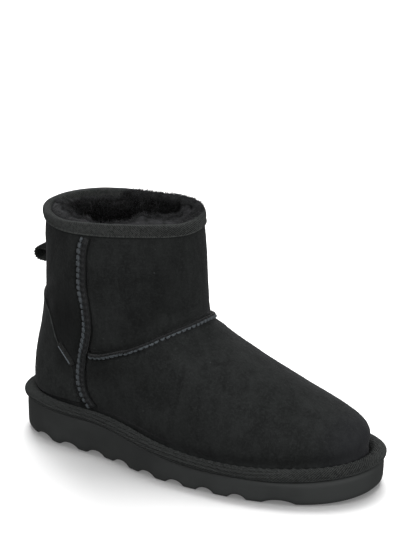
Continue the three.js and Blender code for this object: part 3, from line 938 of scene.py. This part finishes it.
def pads(name, made):
    """A seam's stitches: plump pads of thread, each a little different."""
    path = along_path(made["table"], made["pitch"], made["pitch"] * 0.7)
    base, ahead, aside, normal = frames(*path)
    long, wide, tall = (size / 2 for size in made["pad"])
    shape = round_pad()
    rings, sides = shape.shape[:2]
    along, across, up = (shape[..., k] for k in range(3))
    strands = 1 + 0.1 * np.cos(along * 9)
    narrow = blend(made["taper"], 1.0, (across + 1) / 2)
    faces, _ = grid_faces(rings, sides, False, True)
    caps = np.vstack([rungs(sides, 0)[:, ::-1], rungs(sides, (rings - 1) * sides)])
    points = []
    for k in range(len(base)):
        size = 1 + rng.normal(scale=0.07, size=3)
        size[1] *= np.interp(k / (len(base) - 1), *np.transpose(made["swell"]))
        skew, shift = rng.normal(0.12, 0.08), rng.normal(scale=0.18)
        x = along * long * narrow * size[0] + skew * across * wide + shift
        y = made["toward"] * across * wide * size[1]
        z = up * tall * strands * size[2] + 0.55 * tall + 0.22 * across * wide
        points.append(base[k] + x[..., None] * ahead[k] + y[..., None] * aside[k]
                      + z[..., None] * normal[k])
    steps = (np.arange(len(base)) * rings * sides)[:, None, None]
    mesh = make_mesh(name + "_stitches", np.array(points), (faces + steps).reshape(-1, 4),
                     (caps + steps).reshape(-1, 3))
    add_object(mesh, THREAD)


def tube(name, centres, radius, material, sides=10):
    """A round cord along a line of points, closed at both ends."""
    ahead = unit(np.gradient(centres, axis=0))
    one = unit(np.cross(ahead, [0, 0, 1.0]))
    two = np.cross(ahead, one)
    turn = np.linspace(0, TURN, sides, endpoint=False)
    grid = (centres[:, None] + one[:, None] * np.cos(turn)[None, :, None] * radius
            + two[:, None] * np.sin(turn)[None, :, None] * radius)
    add_object(slab_mesh(name, grid), material)


# ---------- fleece ----------

def strands(name, root, direction, length, radius, curl, seed):
    """Short curled fibres from root points, as three-sided tapered tubes in one mesh."""
    local = np.random.default_rng(seed)
    count, steps = len(root), 5
    length = length * local.uniform(0.6, 1.25, count)
    side = unit(np.cross(direction, local.normal(size=(count, 3))))
    third = np.cross(direction, side)
    bend = curl * local.uniform(0.5, 1.3, count)
    spin = local.uniform(0, TURN, count)
    spine = []
    for k in range(steps):
        t = k / (steps - 1)
        turn = bend * t
        forward = np.sin(turn) / np.maximum(bend, 1e-3) * length
        over = (1 - np.cos(turn)) / np.maximum(bend, 1e-3) * length
        wobble = 0.12 * length * np.sin(turn * 1.7 + spin)
        spine.append(root + direction * forward[:, None] + side * over[:, None]
                     + third * wobble[:, None])
    spine = np.array(spine).transpose(1, 0, 2)
    ahead = unit(np.gradient(spine, axis=1))
    flat_a = unit(np.cross(ahead, third[:, None]))
    flat_b = np.cross(ahead, flat_a)
    taper = np.linspace(1, 0.25, steps)[None, :, None] * radius
    rings = np.stack([spine + (flat_a * math.cos(a) + flat_b * math.sin(a)) * taper
                      for a in (0, TURN / 3, 2 * TURN / 3)], 2)
    faces, _ = grid_faces(steps, 3, False, True)
    faces = (faces[None] + (np.arange(count) * steps * 3)[:, None, None]).reshape(-1, 4)
    add_object(make_mesh(name, rings.reshape(-1, 3), faces), WOOL)


WOOL_TOP = 9.98                  # the row where the wool begins, under the tape
# Round the far back the tape's inner leg stays bare: degrees, half width in degrees, down to row.
BARE = dict(at=146, half_width=36, down_to=9.5)
# Deep locks of wool, listed one by one: degrees, row, how far they reach into the boot, how far
# they rise, half width in degrees, half height in rows.
LOCKS = [
    (-152, 9.8, 8.0, 3.0, 13, 0.40), (-126, 9.8, 10.5, 4.5, 14, 0.45), (-103, 9.75, 9.0, 3.6, 10, 0.40),
    (-77, 9.75, 5.0, 2.6, 7, 0.35), (-57, 9.85, 12.0, 7.0, 10, 0.42), (-37, 9.85, 13.0, 5.4, 11, 0.45),
    (-14, 9.85, 10.5, 6.0, 14, 0.45),
    (12, 9.9, 8.0, 4.5, 15, 0.40), (38, 9.9, 5.5, 3.8, 15, 0.40), (64, 9.9, 3.5, 3.2, 15, 0.35),
    (90, 9.8, 2.0, 2.0, 12, 0.35), (118, 9.0, 2.5, 0.0, 16, 0.40), (-172, 9.3, 4.0, 0.0, 13, 0.40),
]


def pile(row, angle):
    """How far the fleece reaches in from the suede at a place, and how far it rises there."""
    degrees = np.degrees(angle)
    # Thickest below the tape, and thinner down in the foot.
    deep = 4.9 + 4.2 * smooth(9.8, 9.1, row) - 2.6 * smooth(8.6, 6.5, row)
    deep -= (1.8 * np.exp(-(turned(degrees, BARE["at"]) / BARE["half_width"]) ** 4)
             * smooth(9.45, 9.75, row))
    rise = np.zeros_like(deep)
    for at, at_row, reach, up, half_width, half_height in LOCKS:
        lock = bell(turned(degrees, at) / half_width, (row - at_row) / half_height)
        deep += reach * lock
        rise += up * lock
    return deep, rise


def lining():
    """The lumpy skin of the wool, from the collar down to the footbed, and its back."""
    angles = column_angles(420)
    row, angle = np.meshgrid(np.linspace(WOOL_TOP, 0.8, 150), angles, indexing="ij")
    base, normal = on_skin(row, angle)
    deep, rise = pile(row, angle)
    core = base - normal * 7                    # the lumps are read in the middle of the wool
    lumps = 2.0 * np.abs(waves(core, 17, 51, 2)) + 1.2 * np.abs(waves(core, 7.5, 52, 2))
    lumps += 0.45 * waves(core, 2.6, 53, 1)
    surface = base - normal * (deep + lumps * (0.4 + 0.6 * smooth(WOOL_TOP, 9.3, row)) - 1.2)[..., None]
    surface[..., 2] += rise * (0.35 + 0.65 * smooth(WOOL_TOP, 9.8, row)) + 0.3 * lumps
    back = base[::-6] - normal[::-6] * 2.6
    grid = np.concatenate([surface, back])
    add_object(grid_mesh("fleece_lining", grid, True, True), WOOL)


def curls():
    """Short curled fibres all over the upper part of the wool."""
    count = 8600
    row = WOOL_TOP - 2.4 * rng.random(count) ** 1.8
    angle = rng.uniform(-math.pi, math.pi, count)
    bare = np.abs(turned(np.degrees(angle), BARE["at"])) < BARE["half_width"]
    kept = ~(bare & (row > BARE["down_to"]))
    row, angle = row[kept], angle[kept]
    base, normal = on_skin(row, angle)
    deep, rise = pile(row, angle)
    root = base - normal * (deep - 0.2)[:, None]
    root[:, 2] += rise
    direction = unit(-normal + rng.normal(scale=0.6, size=normal.shape) + [0, 0, 0.45])
    strands("fleece_curls", root, direction, 3.8, 0.22, 3.4, 5)


def rim_tufts():
    """Along the inner front the wool stands up over the tape."""
    count = 3600
    angle = np.radians(rng.triangular(-12, 55, 112, count))
    out = rng.uniform(-6.5, -0.2, count)
    root = off_skin(COLLAR, angle, out, 0.6)
    root[:, 2] += 1.2 * rng.random(count)
    normal = skin_normal(COLLAR, angle)
    direction = unit(normal * 0.25 + [0, 0, 1.0] + rng.normal(scale=0.5, size=normal.shape))
    strands("fleece_rim_tufts", root, direction, 4.0, 0.24, 3.8, 6)


def insole():
    """The fleece-covered footbed, with a soft uneven top."""
    angles = column_angles(240)
    grid = np.array([off_foot(angles, out, height) for out, height in (
        (-7.6, 0.35), (-7.4, 2.0), (-7.6, 4.6), (-9.5, 5.4), (-16, 5.5), (-24, 5.5))])
    grid[3:, :, 2] += 0.5 * waves(grid[3:], 9, 61, 3)
    obj = add_object(slab_mesh("footbed_fleece", grid), WOOL)
    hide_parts("insole")


# ---------- blank tag at the counter's edge ----------

def label():
    """A small plain folded tag, caught under the counter's edge and standing off the suede."""
    row, angle = along_path(COUNTER_EDGE, 0.5)
    inside = (row < TAG_ROWS[0]) & (row > TAG_ROWS[1])
    base, _, aside, normal = frames(row[inside], angle[inside])
    ends = np.minimum(np.arange(len(base)), np.arange(len(base))[::-1]) * 0.5
    full = np.clip(ends / 0.6, 0.25, 1)[:, None] ** 0.5
    section = smooth_profile([(-0.8, 1.6), (0.6, 2.6), (2.4, 2.5), (4.0, 1.9), (4.6, 1.2), (3.9, 0.7),
                              (1.5, 0.6), (-0.8, 0.8)], 34)
    across = section[None, :, 0] * np.ones_like(full)
    height = 1.3 + (section[None, :, 1] - 1.3) * full
    grid = base[:, None] + aside[:, None] * across[..., None] + normal[:, None] * height[..., None]
    add_object(slab_mesh("blank_tag", grid), LABEL)
    stripe = base[3:-3] + aside[3:-3] * 1.3 + normal[3:-3] * 2.62
    tube("blank_tag_stripe", stripe, 0.5, LABEL_STRIPE, 8)


# ---------- stage ----------

SKY = 0.3                        # even light from all round
LAMPS = {                        # place in metres, size, power
    "right_box": ((2.0, -1.0, 1.3), 1.4, 70),
    "left_box": ((-1.6, -1.6, 1.6), 1.4, 33),
    "top_box": ((0.2, 0.2, 2.4), 2.0, 30),
    "front_box": ((0.6, -2.4, 1.2), 1.6, 30),
    "back_box": ((-1.2, 1.6, 1.8), 1.4, 40),
}
LIT = (0, 0, 0.08)               # where every lamp points
FLOOR_GLOW = 0.14
FLOOR_WASH = ((-0.4, 0.85, 2.1), 1.5, 56)      # lights the paper from above and behind
LIGHTS_BOOT_ONLY = ("right_box", "left_box", "front_box")


def add_lamp(name, where, size, power):
    data = bpy.data.lights.new(name, "AREA")
    data.size, data.energy = size, power
    lamp = in_scene(name, data)
    lamp.location = where
    lamp.rotation_euler = (Vector(LIT) - Vector(where)).to_track_quat("-Z", "Y").to_euler()
    return lamp


def stage():
    """A plain pale paper floor, an even sky and soft boxes."""
    floor_mesh = bpy.data.meshes.new("floor")
    reach = 12
    corners = [(-reach, -reach, 0), (reach, -reach, 0), (reach, reach, 0), (-reach, reach, 0)]
    floor_mesh.from_pydata(corners, [], [(0, 1, 2, 3)])
    floor = in_scene("floor", floor_mesh)
    n = Nodes("floor_paper")
    color = n.mix(n.noise(n.here, 3), gray(0.80, 0, 0), gray(0.82, 0, 0))
    floor_mesh.materials.append(
        n.finish(color, 0.9, Emission_Color=gray(1, 0, 0), Emission_Strength=FLOOR_GLOW))
    floor.visible_diffuse = floor.visible_glossy = False
    world = bpy.data.worlds.new("studio")
    world.use_nodes = True
    sky = world.node_tree.nodes["Background"].inputs
    sky["Color"].default_value = (1, 1, 1, 1)
    sky["Strength"].default_value = SKY
    bpy.context.scene.world = world
    bpy.context.scene.view_settings.view_transform = "Standard"
    paper_only = bpy.data.collections.new("paper_only")
    paper_only.objects.link(floor)
    all_but_paper = bpy.data.collections.new("all_but_paper")
    all_but_paper.objects.link(floor)
    all_but_paper.collection_objects[0].light_linking.link_state = "EXCLUDE"
    for name, lamp in LAMPS.items():
        made = add_lamp(name, *lamp)
        if name in LIGHTS_BOOT_ONLY:
            made.light_linking.receiver_collection = all_but_paper
    add_lamp("floor_wash", *FLOOR_WASH).light_linking.receiver_collection = paper_only


def camera():
    """The camera at the photograph's viewing angle."""
    a, e = math.radians(CAMERA["azimuth"]), math.radians(CAMERA["elevation"])
    back = Vector((math.sin(a) * math.cos(e), -math.cos(a) * math.cos(e), math.sin(e)))
    data = bpy.data.cameras.new("camera")
    data.lens = CAMERA["lens"]
    obj = in_scene("camera", data)
    roll = Matrix.Rotation(math.radians(CAMERA["roll"]), 3, "Z").to_quaternion()
    obj.location = Vector(place(LOOK_AT)) + back * CAMERA["distance"]
    obj.rotation_euler = (back.to_track_quat("Z", "Y") @ roll).to_euler()
    bpy.context.scene.camera = obj


camera()
upper()
outsole()
rand()
heel_counter()
collar_binding()
pull_loop()
for seam_name, seam in SEAMS.items():
    raw_edge(seam_name, seam)
    pads(seam_name, seam)
lining()
curls()
rim_tufts()
insole()
label()
stage()
